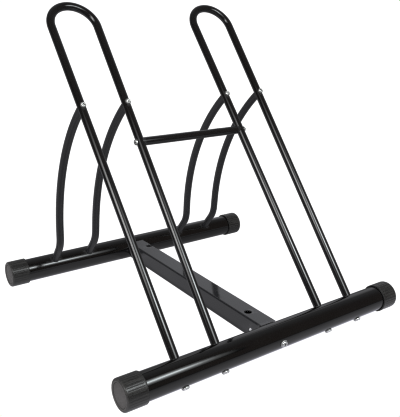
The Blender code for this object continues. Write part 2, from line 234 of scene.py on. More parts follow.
def bright_zinc(name, colour=(0.39, 0.39, 0.385), dull=(0.30, 0.30, 0.295), rough=(0.38, 0.50), metal=0.55):
    """Zinc-plated steel, turned: rings round the piece's own axis under a pale, cloudy, half-matt passivation."""
    g = Graph(name)
    where = g.coords()
    cloud = g.noise(where, 330.0, 4.0, 0.6, 0.5)
    where_node = g.add("ShaderNodeTexCoord").outputs["Object"]
    parts = g.add("ShaderNodeSeparateXYZ", {"Vector": where_node})
    radius = g.maths("SQRT", g.maths("ADD", g.maths("MULTIPLY", parts.outputs["X"], parts.outputs["X"]),
                                     g.maths("MULTIPLY", parts.outputs["Y"], parts.outputs["Y"])), 0.0)
    turned_at = g.add("ShaderNodeCombineXYZ", {"X": radius, "Y": 0.0, "Z": parts.outputs["Z"]}).outputs["Vector"]
    rings = g.noise(turned_at, 5200.0, 3.0, 0.6)
    base = g.blend(g.spread(cloud, 0.34, 0.68), colour, dull)
    base = g.blend(g.maths("MULTIPLY", g.spread(rings, 0.55, 0.75), 0.20), base, (0.18, 0.18, 0.18))
    edge = g.attribute("edge")
    base = g.blend(g.maths("MULTIPLY", edge, 0.45), base, (0.42, 0.42, 0.42))
    g.drive("Base Color", base)
    g.drive("Roughness", g.spread(cloud, 0.30, 0.70, rough[0], rough[1]))
    normal = g.bump(rings, 1.0, 0.000006)
    normal = g.bump(cloud, 1.0, 0.00001, normal)
    g.drive("Normal", normal)
    g.fixed(Metallic=metal)
    return g.mat


TUBE_PAINT = paint("enamel_gloss_base_tube", (0.0008, 0.0008, 0.0009), (0.0017, 0.0016, 0.0015),
                   (0.045, 0.080), (0.00005, 0.0000020), dust=0.006)
HOOP_PAINT = paint("enamel_gloss_hoop", (0.0024, 0.0024, 0.0026), (0.0034, 0.0033, 0.0033),
                   (0.045, 0.080), (0.00002, 0.0000015), dust=0.006)
LEG_PAINT = paint("enamel_satin_leg", (0.0098, 0.0100, 0.0124), (0.0142, 0.0143, 0.0162),
                  (0.30, 0.40), (0.00004, 0.0000060), dust=0.03)
BAR_PAINT = paint("enamel_gloss_bar", (0.0060, 0.0063, 0.0078), (0.0098, 0.0100, 0.0118),
                  (0.060, 0.095), (0.00006, 0.0000030), ior=1.75, dust=0.02)
CAP_PLASTIC = moulded_plastic("moulded_cap_plastic")
ZINC = bright_zinc("zinc_plate_bright")
# A paler copy of the zinc plate for the barrel nuts only: painted light, so their ends recessed in the bar read bright.
LIT_NUT_ZINC = bright_zinc("zinc_plate_painted_light", (0.62, 0.62, 0.61), (0.50, 0.50, 0.49), (0.42, 0.54), 0.35)
PLUG_STEEL = bright_zinc("turned_plug_steel", (0.50, 0.50, 0.51), (0.36, 0.355, 0.35), (0.30, 0.48), 1.0)


# ------------------------------------------------------------------ mesh helpers
def bridge(bm, ring_a, ring_b):
    n = len(ring_a)
    for i in range(n):
        j = (i + 1) % n
        bm.faces.new((ring_a[i], ring_a[j], ring_b[j], ring_b[i]))


def fan(bm, ring, centre):
    hub = bm.verts.new(centre)
    for i in range(len(ring)):
        bm.faces.new((ring[i], ring[(i + 1) % len(ring)], hub))


def to_object(name, bm):
    bmesh.ops.recalc_face_normals(bm, faces=bm.faces)
    mesh = bpy.data.meshes.new(name)
    bm.to_mesh(mesh)
    bm.free()
    obj = bpy.data.objects.new(name, mesh)
    SCENE.collection.objects.link(obj)
    return obj


def headings(points):
    out = []
    for i, here in enumerate(points):
        before = points[max(i - 1, 0)]
        after = points[min(i + 1, len(points) - 1)]
        if 0 < i < len(points) - 1:
            out.append(((here - before).normalized() + (after - here).normalized()).normalized())
        else:
            out.append((after - before).normalized())
    return out


def swept_tube(name, points, side, r_out, r_in, sides):
    """Tube with a wall along a path that bends about the direction `side`; both ends lightly broken."""
    bm = bmesh.new()
    stations = []
    lip = 0.0003
    way = headings(points)
    for i, (point, along) in enumerate(zip(points, way)):
        if i == 0:
            stations += [(point, along, lip), (point + along * lip, along, 0.0)]
        elif i == len(points) - 1:
            stations += [(point - along * lip, along, 0.0), (point, along, lip)]
        else:
            stations.append((point, along, 0.0))
    outer, inner = [], []
    for point, along, back in stations:
        up = side.cross(along).normalized()
        across = along.cross(up).normalized()
        ring_o, ring_i = [], []
        for k in range(sides):
            a = 2 * math.pi * (k + 0.5) / sides
            radial = across * math.cos(a) + up * math.sin(a)
            ring_o.append(bm.verts.new(point + radial * (r_out - back)))
            ring_i.append(bm.verts.new(point + radial * r_in))
        outer.append(ring_o)
        inner.append(ring_i)
    for rings in (outer, inner):
        for a, b in zip(rings[:-1], rings[1:]):
            bridge(bm, a, b)
    bridge(bm, outer[0], inner[0])
    bridge(bm, outer[-1], inner[-1])
    return to_object(name, bm)


def between(a, b, step):
    """Points from a to b, both included, no further apart than step."""
    n = max(1, math.ceil((b - a).length / step))
    return [a.lerp(b, i / n) for i in range(n + 1)]


def basis(along, hint=Vector((1.0, 0.0, 0.0))):
    z = along.normalized()
    x = hint - z * hint.dot(z)
    if x.length < 1e-4:
        x = Vector((0.0, 1.0, 0.0)) - z * z.y
    x.normalize()
    return Matrix((x, z.cross(x), z)).transposed().to_4x4()


def turned(name, profile, sides, closed_ends=True, hex_depth=None):
    """Turned piece about local Z from (radius, z) or (radius, z, 'hex')."""
    bm = bmesh.new()
    rings = []
    for station in profile:
        r, z = station[0], station[1]
        ring = []
        for k in range(sides):
            a = 2 * math.pi * (k + 0.5) / sides
            rr = r
            if len(station) > 2:
                wedge = (a % (math.pi / 3)) - math.pi / 6
                rr = r * math.cos(math.pi / 6) / math.cos(wedge)
            ring.append(bm.verts.new((rr * math.cos(a), rr * math.sin(a), z)))
        rings.append(ring)
    for a, b in zip(rings[:-1], rings[1:]):
        bridge(bm, a, b)
    if closed_ends:
        fan(bm, rings[0], (0.0, 0.0, profile[0][1]))
        fan(bm, rings[-1], (0.0, 0.0, profile[-1][1]))
    else:
        bridge(bm, rings[-1], rings[0])
    return to_object(name, bm)


def cutter(origin, along, r, near, far, sides, hint=Vector((1.0, 0.0, 0.0))):
    obj = turned("cutter", [(r, near), (r, far)], sides)
    obj.matrix_world = Matrix.Translation(origin) @ basis(along, hint)
    return obj


def cut(obj, tools):
    """Boolean cuts, applied to the mesh; the cutters are removed."""
    for tool in tools:
        mod = obj.modifiers.new("cut", "BOOLEAN")
        mod.operation = "DIFFERENCE"
        mod.solver = "EXACT"
        mod.object = tool
    bpy.context.view_layer.update()
    graph = bpy.context.evaluated_depsgraph_get()
    mesh = bpy.data.meshes.new_from_object(obj.evaluated_get(graph))
    obj.modifiers.clear()
    old = obj.data
    name = old.name
    obj.data = mesh
    bpy.data.meshes.remove(old)
    mesh.name = name
    for tool in tools:
        data = tool.data
        bpy.data.objects.remove(tool)
        bpy.data.meshes.remove(data)
    return obj


def tidy(mesh, merge=2e-6):
    bm = bmesh.new()
    bm.from_mesh(mesh)
    bmesh.ops.remove_doubles(bm, verts=bm.verts, dist=merge)
    bmesh.ops.dissolve_degenerate(bm, edges=bm.edges, dist=1e-7)
    bmesh.ops.recalc_face_normals(bm, faces=bm.faces)
    bm.to_mesh(mesh)
    bm.free()


def round_normals(mesh, points, r_out, r_in):
    """Exact shading of a tube: a face on the outer or inner round takes the normal of the true round."""
    p = np.array([tuple(q) for q in points])
    a, ab = p[:-1], p[1:] - p[:-1]
    n = len(mesh.vertices)
    v = np.empty(n * 3)
    mesh.vertices.foreach_get("co", v)
    v = v.reshape(n, 3)
    best = np.full(n, np.inf)
    away = np.zeros((n, 3))
    for start, span in zip(a, ab):
        t = np.clip(((v - start) @ span) / (span @ span), 0.0, 1.0)
        gap = v - (start + t[:, None] * span)
        far = np.linalg.norm(gap, axis=1)
        near = far < best
        best[near] = far[near]
        away[near] = gap[near]
    unit = away / np.maximum(best, 1e-9)[:, None]
    loops = np.empty(len(mesh.loops), dtype=np.int32)
    mesh.loops.foreach_get("vertex_index", loops)
    totals = np.empty(len(mesh.polygons), dtype=np.int32)
    mesh.polygons.foreach_get("loop_total", totals)
    faces = np.empty(len(mesh.polygons) * 3)
    mesh.polygons.foreach_get("normal", faces)
    faces = faces.reshape(-1, 3).repeat(totals, axis=0)
    radial, dist = unit[loops], best[loops]
    facing = np.einsum("ij,ij->i", faces, radial)
    normals = faces.copy()
    outside = (np.abs(dist - r_out) < 6e-5) & (facing > 0.85)
    inside = (np.abs(dist - r_in) < 6e-5) & (facing < -0.85)
    normals[outside] = radial[outside]
    normals[inside] = -radial[inside]
    mesh.shade_smooth()
    mesh.normals_split_custom_set([tuple(q) for q in normals])


def edge_wear(mesh, width, angle=32.0):
    """Float attribute `edge`: 1 on a sharp edge, fading to 0 at `width` from it."""
    bm = bmesh.new()
    bm.from_mesh(mesh)
    limit = math.radians(angle)
    marks = []
    for e in bm.edges:
        if len(e.link_faces) == 2 and e.calc_face_angle(0.0) > limit:
            a, b = e.verts[0].co, e.verts[1].co
            steps = max(1, int((b - a).length / (width * 0.7)))
            marks += [a.lerp(b, i / steps) for i in range(steps + 1)]
    values = [0.0] * len(bm.verts)
    if marks:
        tree = KDTree(len(marks))
        for i, q in enumerate(marks):
            tree.insert(q, i)
        tree.balance()
        bm.verts.ensure_lookup_table()
        for i, vert in enumerate(bm.verts):
            values[i] = max(0.0, 1.0 - tree.find(vert.co)[2] / width)
    bm.free()
    made = mesh.attributes.new("edge", "FLOAT", "POINT")
    made.data.foreach_set("value", values)


def finish_piece(obj, node, mat, wear=0.0015, sharp=None):
    if sharp is not None:
        obj.data.shade_smooth()
        obj.data.set_sharp_from_angle(angle=math.radians(sharp))
    edge_wear(obj.data, wear)
    obj.data.materials.clear()
    obj.data.materials.append(mat)
    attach(obj, "root")
    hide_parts(node)
    return obj


# ------------------------------------------------------------------ geometry rules
SLOPE = Vector((0.0, math.sin(HOOP_LEAN), math.cos(HOOP_LEAN)))
PLANE_NORMAL = Vector((0.0, -math.cos(HOOP_LEAN), math.sin(HOOP_LEAN)))


def on_hoop(x, reach):
    return Vector((x, FRONT_Y + reach * math.sin(HOOP_LEAN), AXIS_Z + reach * math.cos(HOOP_LEAN)))


def hoop_leg(place_sign, leg_sign):
    foot = on_hoop(place_sign * HOOP_X + leg_sign * HOOP_HALF, 0.0)
    run = (SLOPE + Vector((leg_sign * HOOP_SPLAY, 0.0, 0.0))).normalized()
    return foot, run


def along_leg(foot, run, reach):
    return foot + run * (reach / run.dot(SLOPE))


def rear_leg_path(foot_x, top_x, bend_steps, sweep_steps, step=None):
    """Centre line of a rear leg: straight stub, tight bend, short straight, long sweep up to the hoop leg."""
    def head(angle):
        return Vector((-math.sin(angle), math.cos(angle)))

    def arc(angle_a, angle_b, radius):
        turn = radius if angle_b > angle_a else -radius
        return Vector((math.cos(angle_b) - math.cos(angle_a),
                       math.sin(angle_b) - math.sin(angle_a))) * turn

    goal = (Vector((FRONT_Y, AXIS_Z))
            + Vector((math.sin(HOOP_LEAN), math.cos(HOOP_LEAN))) * JOINT_REACH)
    end = goal - head(REAR_END) * SMALL_R
    start = Vector((REAR_Y, AXIS_Z))
    rest = (end - start - arc(REAR_LEAN, REAR_UPRIGHT, REAR_BEND_R)
            - arc(REAR_UPRIGHT, REAR_END, REAR_SWEEP_R))
    a, b = head(REAR_LEAN), head(REAR_UPRIGHT)
    det = a.x * b.y - a.y * b.x
    first = (rest.x * b.y - rest.y * b.x) / det
    second = (a.x * rest.y - a.y * rest.x) / det

    flat = [start - a * FOOT_DEPTH]
    here = start + a * first
    flat += between(flat[0], here, 0.006)[1:]
    for span, steps, radius in (((REAR_LEAN, REAR_UPRIGHT), bend_steps, REAR_BEND_R),
                                ((REAR_UPRIGHT, REAR_END), sweep_steps, REAR_SWEEP_R)):
        for k in range(1, steps + 1):
            angle = span[0] + (span[1] - span[0]) * k / steps
            flat.append(here + arc(span[0], angle, radius))
        here = flat[-1].copy()
        if span[0] == REAR_LEAN:
            there = here + b * second
            flat += between(here, there, 0.012)[1:]
            here = there
    flat += between(here, goal, 0.004)[1:]
    rise = (top_x - foot_x) / (goal.y - AXIS_Z)
    return [Vector((foot_x + rise * (p.y - AXIS_Z), p.x, p.y)) for p in flat]


PLACES = (("left", -1), ("right", 1))
FRONT_LEGS, REAR_LEGS, PATHS, JOINTS = {}, {}, {}, {}
for place_name, ps in PLACES:
    for leg_name, ls in (("outer", ps), ("inner", -ps)):
        FRONT_LEGS[place_name, leg_name] = hoop_leg(ps, ls)
        foot_x = ps * HOOP_X + ls * HOOP_HALF
        path = rear_leg_path(foot_x, foot_x + ls * HOOP_SPLAY * JOINT_REACH, 14, 36)
        PATHS[place_name, leg_name] = path
        run = (path[1] - path[0]).normalized()
        REAR_LEGS[place_name, leg_name] = (path[0] + run * FOOT_DEPTH, run)
        # The joint screw follows the last chord of the CAD leg, from 8 mm short of the hoop's axis.
        foot, up_run = FRONT_LEGS[place_name, leg_name]
        JOINTS[place_name, leg_name] = (along_leg(foot, up_run, JOINT_REACH), (path[-1] - path[-2]).normalized())


# ------------------------------------------------------------------ base tubes
def base_tube(node, y, legs):
    ends = (Vector((-TUBE_HALF, y, AXIS_Z)), Vector((TUBE_HALF, y, AXIS_Z)))
    tube = swept_tube(node + "_body", between(*ends, 0.010), Vector((0.0, 0.0, 1.0)),
                      BASE_R, BASE_R - BASE_WALL, BASE_SIDES)
    tools = []
    for foot, run in legs:
        tools.append(cutter(foot, run, SMALL_R + 1.2 * GAP, 0.004, 0.060, SMALL_SIDES))
        tools.append(cutter(foot, run, M8_R + SCREW_CLEARANCE, -0.060, -0.004, 32))
    tools.append(cutter(Vector((0.0, y, AXIS_Z - BOLT_DROP)), Vector((0.0, 1.0, 0.0)),
                        M6_R + SCREW_CLEARANCE, -0.060, 0.060, 32))
    cut(tube, tools)
    tidy(tube.data)
    round_normals(tube.data, ends, BASE_R, BASE_R - BASE_WALL)
    return finish_piece(tube, node, TUBE_PAINT, wear=0.004)


base_tube("base_tube_front", FRONT_Y, FRONT_LEGS.values())
base_tube("base_tube_rear", REAR_Y, REAR_LEGS.values())


# ------------------------------------------------------------------ end caps
def end_cap(node, y, end_x):
    """Push-on cap with fine moulded grooves along it, a rounded nose, a raised rim and a plain collar at its mouth."""
    bore = BASE_R + GAP
    crest = FLOOR_FLAT
    depth, half_width = 0.00015, 0.00090
    corner = 0.0034
    profile = [(bore, CAP_END, 0.0), (bore, CAP_LENGTH - 0.0006, 0.0), (bore + 0.0006, CAP_LENGTH, 0.0)]
    mouth = 0.0010
    for k in range(5):
        a = math.pi / 2 * k / 4
        profile.append((crest - mouth + mouth * math.sin(a), CAP_LENGTH - mouth + mouth * math.cos(a), 0.0))
    profile += [(crest, CAP_LENGTH - 0.0034, 0.0), (crest - 0.00002, CAP_LENGTH - 0.0042, 0.35),
                (crest - 0.00002, CAP_LENGTH - 0.0052, 1.0)]
    for k in range(1, 10):
        profile.append((crest - 0.00002, CAP_LENGTH - 0.0052 + (corner + 0.0018 - CAP_LENGTH + 0.0052) * k / 10, 1.0))
    profile += [(crest - 0.00002, corner + 0.0018, 1.0), (crest - 0.00004, corner + 0.0009, 0.45), (crest - 0.00008, corner, 0.0)]
    for k in range(1, 9):
        a = math.pi / 2 * k / 8
        profile.append((crest - 0.00008 - corner + corner * math.cos(a), corner - corner * math.sin(a), 0.0))
    rim = crest - corner - 0.0010
    inner = rim - 0.0022
    profile += [(rim, 0.0, 0.0), (rim - 0.0011, 0.0, 0.0), (rim - 0.0016, 0.00010, 0.0), (inner, 0.00090, 0.0),
                (inner - 0.0006, 0.00110, 0.0), (inner - 0.0013, 0.00090, 0.0), (0.0120, 0.00080, 0.0), (0.0016, 0.00080, 0.0)]
    pitch = 2 * math.pi / CAP_RIBS
    offsets = [q * half_width / crest for q in (-1.7, -1.2, -0.8, -0.4, 0.0, 0.4, 0.8, 1.2, 1.7)]
    angles = []
    for k in range(CAP_RIBS):
        middle = (k + 0.5) * pitch                     # a land on the floor line, a groove between two lands
        angles += [(middle - 0.5 * pitch, 0.0), (middle - 0.38 * pitch, 0.0)]
        angles += [(middle + q, math.exp(-(q * crest / half_width) ** 2)) for q in offsets]
        angles += [(middle + 0.38 * pitch, 0.0)]
    bm = bmesh.new()
    rings = []
    shade = []
    for r, z, ribbed in profile:
        ring = []
        for a, sunk in angles:
            rr = r - depth * ribbed * sunk
            ring.append(bm.verts.new((rr * math.cos(a), rr * math.sin(a), z)))
            shade.append(sunk * ribbed)
        rings.append(ring)
    for a, b in zip(rings[:-1], rings[1:]):
        bridge(bm, a, b)
    fan(bm, rings[0], (0.0, 0.0, CAP_END))
    fan(bm, rings[-1], (0.0, 0.0, 0.00080))
    cap = to_object(node + "_moulding", bm)
    cap.matrix_world = (Matrix.Translation(Vector((end_x, y, AXIS_Z)))
                        @ basis(Vector((-math.copysign(1.0, end_x), 0.0, 0.0)), Vector((0.0, 0.0, 1.0))))
    faces, shade_marks = [], []
    for i, v in enumerate(cap.data.vertices):
        r, z = math.hypot(v.co.x, v.co.y), v.co.z
        face = 0.0
        if z < 0.0012 and r < rim + 0.0002:
            face = 1.0
        elif z < corner * 0.9 and r > rim:
            face = 0.40 * max(0.0, 1.0 - z / (corner * 0.9))
        faces.append(face)
        # Painted shade for the material: a dark line in the crease of the end face, the mouth near black, and the rib
        # grooves darkened along their depth.
        crease_shade = 0.55 if z < 0.0012 and abs(r - inner + 0.0004) < 0.0005 else 0.0
        mouth_shade = 1.0 if z > CAP_LENGTH - mouth * 0.8 or r < bore + 0.0004 and z > 0.002 else 0.0
        if z > CAP_LENGTH - mouth * 1.1:
            mouth_shade = max(mouth_shade, 0.8)
        rib_groove_shade = shade[i] * 0.90 if i < len(shade) else 0.0
        shade_marks.append(max(crease_shade, mouth_shade, rib_groove_shade))
    for name, values in (("disc", faces), ("groove_shade", shade_marks)):
        cap.data.attributes.new(name, "FLOAT", "POINT").data.foreach_set("value", values)
    return finish_piece(cap, node, CAP_PLASTIC, wear=0.0012, sharp=42.0)


for row, y in (("front", FRONT_Y), ("rear", REAR_Y)):
    end_cap(f"end_cap_{row}_left", y, -CAP_AT[row, "left"])
    end_cap(f"end_cap_{row}_right", y, CAP_AT[row, "right"])


# ------------------------------------------------------------------ hoops
def hoop_path(ps, steps):
    centre = ps * HOOP_X
    tilt = math.atan(HOOP_SPLAY)
    bend_reach = (HOOP_REACH - HOOP_HALF * math.cos(tilt)) / (1.0 + HOOP_SPLAY * math.cos(tilt))
    bend_r = (HOOP_HALF + HOOP_SPLAY * bend_reach) * math.cos(tilt)
    arc = [on_hoop(centre + bend_r * math.cos(-tilt + (math.pi + 2 * tilt) * k / steps),
                   bend_reach + bend_r * math.sin(-tilt + (math.pi + 2 * tilt) * k / steps))
           for k in range(steps + 1)]
    first = on_hoop(centre + HOOP_HALF - HOOP_SPLAY * FOOT_DEPTH, -FOOT_DEPTH)
    last = on_hoop(centre - HOOP_HALF + HOOP_SPLAY * FOOT_DEPTH, -FOOT_DEPTH)
    return between(first, arc[0], 0.020)[:-1] + arc + between(arc[-1], last, 0.020)[1:]


CROSS_ENDS = {}
for place_name, ps in PLACES:
    node = f"hoop_{place_name}"
    path = hoop_path(ps, 60)
    hoop = swept_tube(node + "_tube", path, PLANE_NORMAL, SMALL_R, SMALL_R - SMALL_WALL, SMALL_SIDES)
    tools = []
    for leg_name in ("outer", "inner"):
        joint, heading = JOINTS[place_name, leg_name]
        tools.append(cutter(joint, heading, M6_R + SCREW_CLEARANCE, -0.020, 0.020, 32))
    foot, run = FRONT_LEGS[place_name, "inner"]
    end = along_leg(foot, run, CROSS_REACH)
    CROSS_ENDS[place_name] = (end, run)
    tools.append(cutter(end, Vector((1.0, 0.0, 0.0)), M6_R + SCREW_CLEARANCE, -0.020, 0.020, 32,
                        Vector((0.0, 1.0, 0.0))))
    cut(hoop, tools)
    tidy(hoop.data)
    round_normals(hoop.data, path, SMALL_R, SMALL_R - SMALL_WALL)
    finish_piece(hoop, node, HOOP_PAINT, wear=0.0015)

# ------------------------------------------------------------------ rear legs
for (place_name, leg_name), path in PATHS.items():
    node = f"rear_leg_{place_name}_{leg_name}"
    leg = swept_tube(node + "_tube", path, Vector((1.0, 0.0, 0.0)), SMALL_R, SMALL_R - SMALL_WALL, SMALL_SIDES)
    joint, heading = JOINTS[place_name, leg_name]
    cut(leg, [cutter(joint, FRONT_LEGS[place_name, leg_name][1], SMALL_R + GAP, -0.040, 0.040, 64)])
    tidy(leg.data)
    round_normals(leg.data, path, SMALL_R, SMALL_R - SMALL_WALL)
    finish_piece(leg, node, LEG_PAINT, wear=0.0018)

# ------------------------------------------------------------------ crossbar
left_end, left_run = CROSS_ENDS["left"]
right_end, right_run = CROSS_ENDS["right"]
path = between(left_end, right_end, 0.012)
crossbar = swept_tube("crossbar_tube", path, SLOPE, SMALL_R, SMALL_R - SMALL_WALL, SMALL_SIDES)
cut(crossbar, [cutter(left_end, left_run, SMALL_R + GAP, -0.030, 0.030, 64),
               cutter(right_end, right_run, SMALL_R + GAP, -0.030, 0.030, 64)])
tidy(crossbar.data)
round_normals(crossbar.data, path, SMALL_R, SMALL_R - SMALL_WALL)
finish_piece(crossbar, "crossbar", HOOP_PAINT, wear=0.0018)


# ------------------------------------------------------------------ square bar
def rounded_section(width, height, corner, steps):
    pts = []
    for cx, cy, start in ((1, 1, 0), (-1, 1, 90), (-1, -1, 180), (1, -1, 270)):
        for k in range(steps + 1):
            a = math.radians(start + 90 * k / steps)
            pts.append((cx * (width / 2 - corner) + corner * math.cos(a),
                        cy * (height / 2 - corner) + corner * math.sin(a)))
    return pts


def centre_bar():
    bm = bmesh.new()
    outer_2d = rounded_section(BAR_WIDTH, BAR_HEIGHT, BAR_CORNER, 8)
    inner_2d = rounded_section(BAR_WIDTH - 2 * BAR_WALL, BAR_HEIGHT - 2 * BAR_WALL, BAR_CORNER - BAR_WALL, 8)
    rings = []
    steps = 54
    for i in range(steps + 1):
        y = FRONT_Y + TRACK * i / steps
        rings.append(([bm.verts.new((x, y, AXIS_Z + z)) for x, z in outer_2d],
                      [bm.verts.new((x, y, AXIS_Z + z)) for x, z in inner_2d]))
    for (oa, ia), (ob, ib) in zip(rings[:-1], rings[1:]):
        bridge(bm, oa, ob)
        bridge(bm, ia, ib)
    bridge(bm, *rings[0])
    bridge(bm, *rings[-1])
    bar = to_object("centre_bar_tube", bm)
    tools = []
    for y, side in ((FRONT_Y, 1), (REAR_Y, -1)):
        tools.append(cutter(Vector((0.0, y, AXIS_Z)), Vector((1.0, 0.0, 0.0)), BASE_R + COPE_GAP, -0.060, 0.060,
                            BASE_SIDES, Vector((0.0, 0.0, 1.0))))
        tools.append(cutter(Vector((0.0, y + side * BARREL_Y, AXIS_Z - BOLT_DROP)), Vector((1.0, 0.0, 0.0)), BARREL_R + GAP,
                            -0.060, 0.060, 40, Vector((0.0, 0.0, 1.0))))
    for x, behind in BAR_HOLES:
        tools.append(cutter(Vector((x, FRONT_Y + behind, AXIS_Z)), Vector((0.0, 0.0, 1.0)), BAR_HOLE_R,
                            0.004, 0.060, 48))
    cut(bar, tools)
    tidy(bar.data)
    mesh = bar.data
    # True shading of the flats and of the rounded corners.
    loops = np.empty(len(mesh.loops), dtype=np.int32)
    mesh.loops.foreach_get("vertex_index", loops)
    v = np.empty(len(mesh.vertices) * 3)
    mesh.vertices.foreach_get("co", v)
    v = v.reshape(-1, 3)[loops]
    totals = np.empty(len(mesh.polygons), dtype=np.int32)
    mesh.polygons.foreach_get("loop_total", totals)
    faces = np.empty(len(mesh.polygons) * 3)
    mesh.polygons.foreach_get("normal", faces)
    faces = faces.reshape(-1, 3).repeat(totals, axis=0)
    normals = faces.copy()
    x, z = v[:, 0], v[:, 2] - AXIS_Z
    for w, h, c, way in ((BAR_WIDTH / 2, BAR_HEIGHT / 2, BAR_CORNER, 1.0),
                         (BAR_WIDTH / 2 - BAR_WALL, BAR_HEIGHT / 2 - BAR_WALL, BAR_CORNER - BAR_WALL, -1.0)):
        dx = np.sign(x) * np.maximum(np.abs(x) - (w - c), 0.0)
        dz = np.sign(z) * np.maximum(np.abs(z) - (h - c), 0.0)
        far = np.hypot(dx, dz)
        unit = np.stack([dx, np.zeros_like(dx), dz], axis=1) / np.maximum(far, 1e-9)[:, None]
        on = (np.abs(far - c) < 3e-5) & (way * np.einsum("ij,ij->i", unit, faces) > 0.85)
        normals[on] = way * unit[on]
    mesh.shade_smooth()
    mesh.normals_split_custom_set([tuple(q) for q in normals])
    return finish_piece(bar, "centre_bar", BAR_PAINT, wear=0.003)


centre_bar()


# ------------------------------------------------------------------ screws, plugs and nuts
def screw(node, origin, along, r, length, head_r, head_h, flange_r=0.0, pitch=0.001):
    """Button-head socket screw with a rolled thread: origin under the head, head towards +along."""
    socket = head_r * 0.42
    profile = [(r * 0.72, -length), (r * 0.80, -length + r * 0.12)]
    crest, root = r, r - pitch * 0.42
    z = -length + r * 0.30
    while z < -0.0034:
        profile += [(root, z), (crest, z + pitch * 0.45), (crest, z + pitch * 0.55)]
        z += pitch
    profile += [(root, z), (r, z + pitch * 0.6), (r, -0.0004), (r + 0.0003, 0.0)]
    if flange_r:
        profile += [(flange_r - 0.0003, 0.0), (flange_r, 0.0003), (flange_r - 0.0001, head_h * 0.20),
                    (flange_r - 0.0006, head_h * 0.27), (head_r + 0.0002, head_h * 0.33)]
        low = head_h * 0.36
    else:
        profile += [(head_r - 0.0002, 0.0), (head_r, 0.0002)]
        low = head_h * 0.20
    for k in range(11):
        a = math.pi / 2 * k / 10
        profile.append((head_r * 0.60 + head_r * 0.40 * math.cos(a), low + (head_h - low) * math.sin(a)))
    profile += [(socket * 1.12, head_h - 0.00002), (socket, head_h - 0.00025, "hex"),
                (socket, head_h * 0.38, "hex"), (socket * 0.55, head_h * 0.28)]
    piece = turned(node + "_fastener", profile, TURNED_SIDES)
    piece.matrix_world = Matrix.Translation(origin) @ basis(along)
    return finish_piece(piece, node, ZINC, wear=0.0006, sharp=38.0)


def plug(node, origin, along, r_out, r_in, length, pitch=0.001):
    """Threaded plug pressed into a tube end, with a chamfer at both ends and knurled-looking press grooves."""
    c = 0.0003
    profile = [(r_in + c, 0.0), (r_out - c, 0.0), (r_out, -c)]
    n = 4
    for k in range(1, n):
        z = -length * k / n
        profile += [(r_out, z + 0.0006), (r_out - 0.0003, z + 0.0003), (r_out - 0.0003, z - 0.0003), (r_out, z - 0.0006)]
    profile += [(r_out, c - length), (r_out - c, -length), (r_in + c, -length)]
    z = -length + c
    while z < -c - pitch:
        profile += [(r_in, z + pitch * 0.15), (r_in + pitch * 0.20, z + pitch * 0.60), (r_in, z + pitch * 0.99)]
        z += pitch
    piece = turned(node + "_insert", profile, TURNED_SIDES, closed_ends=False)
    piece.matrix_world = Matrix.Translation(origin) @ basis(along)
    return finish_piece(piece, node, PLUG_STEEL, wear=0.0006, sharp=32.0)


PLUG_R = SMALL_R - SMALL_WALL - 2 * GAP
for row, legs in (("hoop", FRONT_LEGS), ("rear_leg", REAR_LEGS)):
    for (place_name, leg_name), (foot, run) in legs.items():
        tag = f"{place_name}_{leg_name}"
        plug(f"{row}_foot_plug_{tag}", foot - run * (FOOT_DEPTH - GAP), -run, PLUG_R, M8_R + GAP, FOOT_PLUG, 0.00125)
        screw(f"{row}_foot_screw_{tag}", foot - run * (BASE_R + GAP), -run,
              M8_R, 0.0215, M8_HEAD_R, M8_HEAD_H, pitch=0.00125)

for (place_name, leg_name), (joint, heading) in JOINTS.items():
    tag = f"{place_name}_{leg_name}"
    plug(f"joint_plug_{tag}", joint - heading * (SMALL_R + 3 * GAP), heading, PLUG_R - GAP, M6_R + GAP, JOINT_PLUG)
    screw(f"joint_screw_{tag}", joint + heading * (SMALL_R + GAP), heading, M6_R, 0.0290, M6_HEAD_R, M6_HEAD_H)

for place_name, ps in PLACES:
    end, run = CROSS_ENDS[place_name]
    outward = Vector((float(ps), 0.0, 0.0))
    plug(f"crossbar_plug_{place_name}", end - outward * (SMALL_R + 3 * GAP), outward, PLUG_R, M6_R + GAP, CROSS_PLUG)
    screw(f"crossbar_screw_{place_name}", end + outward * (SMALL_R + GAP), outward,
          M6_R, 0.0290, M6_HEAD_R, M6_HEAD_H)


def barrel_nut(node, y):
    half = BAR_WIDTH / 2 - 0.0004
    profile = [(0.0006, -half + 0.0005), (BARREL_R - 0.0011, -half + 0.0003), (BARREL_R - 0.0008, -half)]
    profile += [(BARREL_R - 0.0002, -half + 0.0004), (BARREL_R, -half + 0.0008)]
    for k in range(1, 8):
        profile.append((BARREL_R, -half + 0.0008 + (2 * half - 0.0016) * k / 8))
    profile += [(BARREL_R, half - 0.0008), (BARREL_R - 0.0002, half - 0.0004), (BARREL_R - 0.0008, half),
                (BARREL_R - 0.0011, half - 0.0003), (0.0006, half - 0.0005)]
    nut = turned(node + "_fastener", profile, TURNED_SIDES)
    nut.matrix_world = (Matrix.Translation(Vector((0.0, y, AXIS_Z - BOLT_DROP)))
                        @ basis(Vector((1.0, 0.0, 0.0)), Vector((0.0, 0.0, 1.0))))
    cut(nut, [cutter(Vector((0.0, y, AXIS_Z - BOLT_DROP)), Vector((0.0, 1.0, 0.0)), M6_R + GAP, -0.020, 0.020, 32)])
    tidy(nut.data)
    return finish_piece(nut, node, LIT_NUT_ZINC, wear=0.0006, sharp=38.0)


for row, y, side in (("front", FRONT_Y, 1), ("rear", REAR_Y, -1)):
    barrel_nut(f"barrel_nut_{row}", y + side * BARREL_Y)
    away = Vector((0.0, -float(side), 0.0))
    screw(f"centre_bar_screw_{row}", Vector((0.0, y, AXIS_Z - BOLT_DROP)) + away * (BASE_R + GAP), away,
          M6_R, BASE_R + BARREL_Y + 0.008, BAR_HEAD_R, BAR_HEAD_H, BAR_FLANGE_R)


